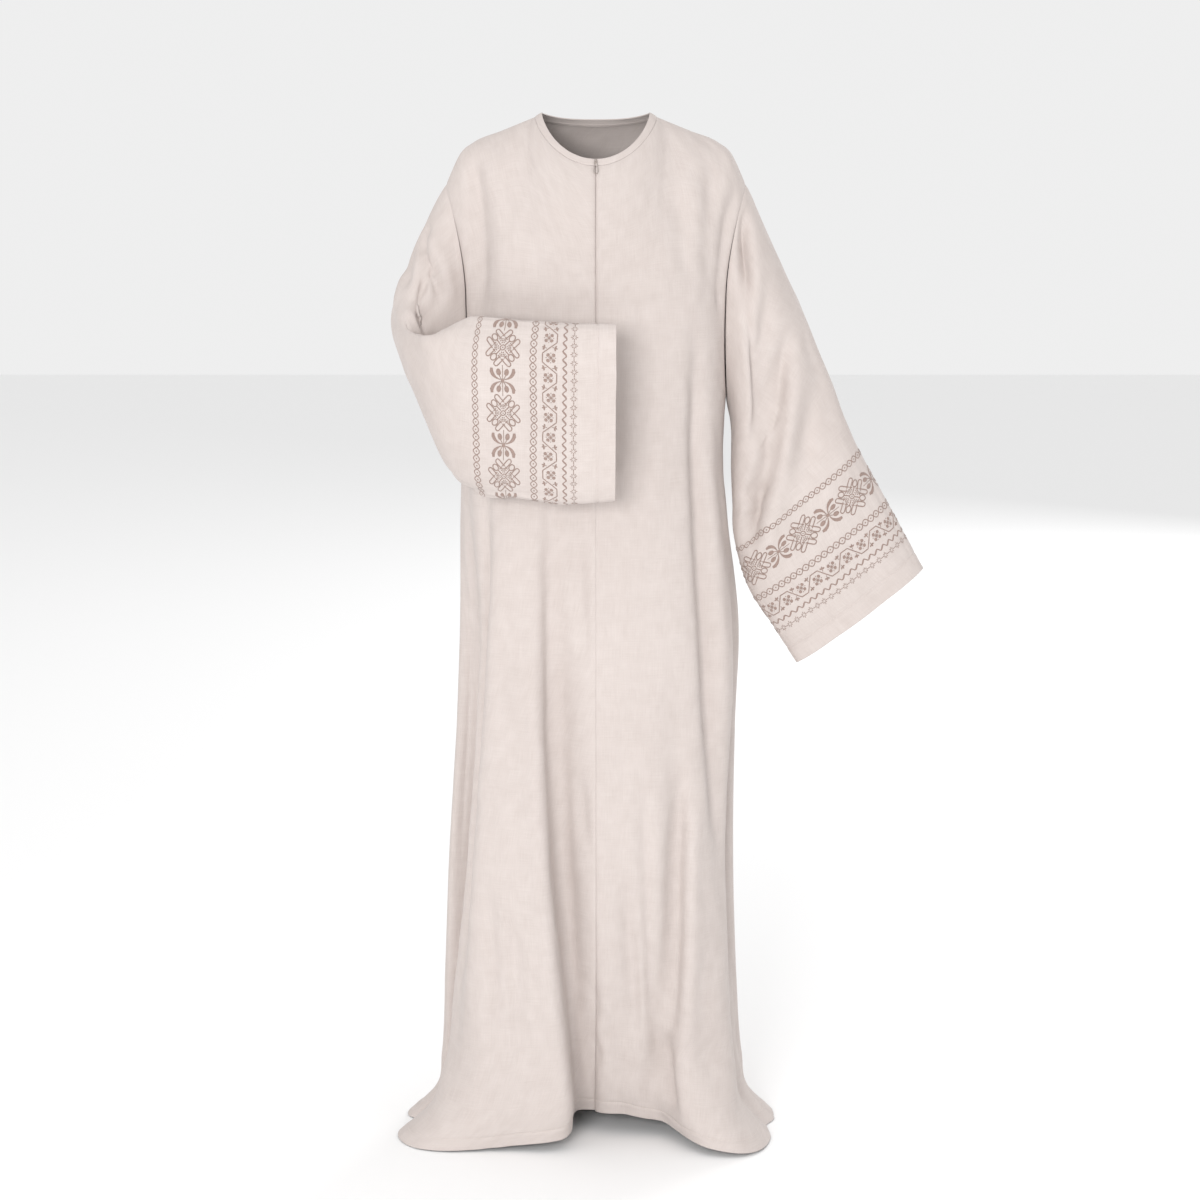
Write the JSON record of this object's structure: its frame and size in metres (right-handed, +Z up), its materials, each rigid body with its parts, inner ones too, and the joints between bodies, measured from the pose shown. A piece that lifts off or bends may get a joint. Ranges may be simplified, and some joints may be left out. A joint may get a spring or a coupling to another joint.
{
  "type": "long robe with wide sleeves, worn",
  "caption": "Long loose robe with wide sleeves, one bent across the front, a narrow neck band, a hidden front zip with a hanging pull and a flared, folded hem.",
  "frame": {"origin": "midway between the two high points of the shoulders, where neckline and shoulder seam meet and the wearer carries the robe", "axes": "-Y is the robe's front, +X its wearer's left, +Z up; the hem lies 1.446 m below the origin"},
  "size_m": [0.7441, 0.4244, 1.4531],
  "materials": {
    "linen": "matt plain weave with slubs, pinkish beige",
    "zip_metal": "satin, toned towards the cloth"
  },
  "bodies": {
    "garment": {"front_right": "linen", "front_left": "linen", "back": "linen", "sleeve_right": "linen", "sleeve_left": "linen", "neck_band": "linen", "zip_slider": "zip_metal"},
    "pull": {"zip_pull": "zip_metal"}
  },
  "joints": [
    {"name": "pull_swing", "type": "hinge", "parent": "garment", "child": "pull", "pos_m": [0, -0.08235, -0.05531], "axis": [-1, 0, 0], "range_deg": [0, 150]}
  ]
}
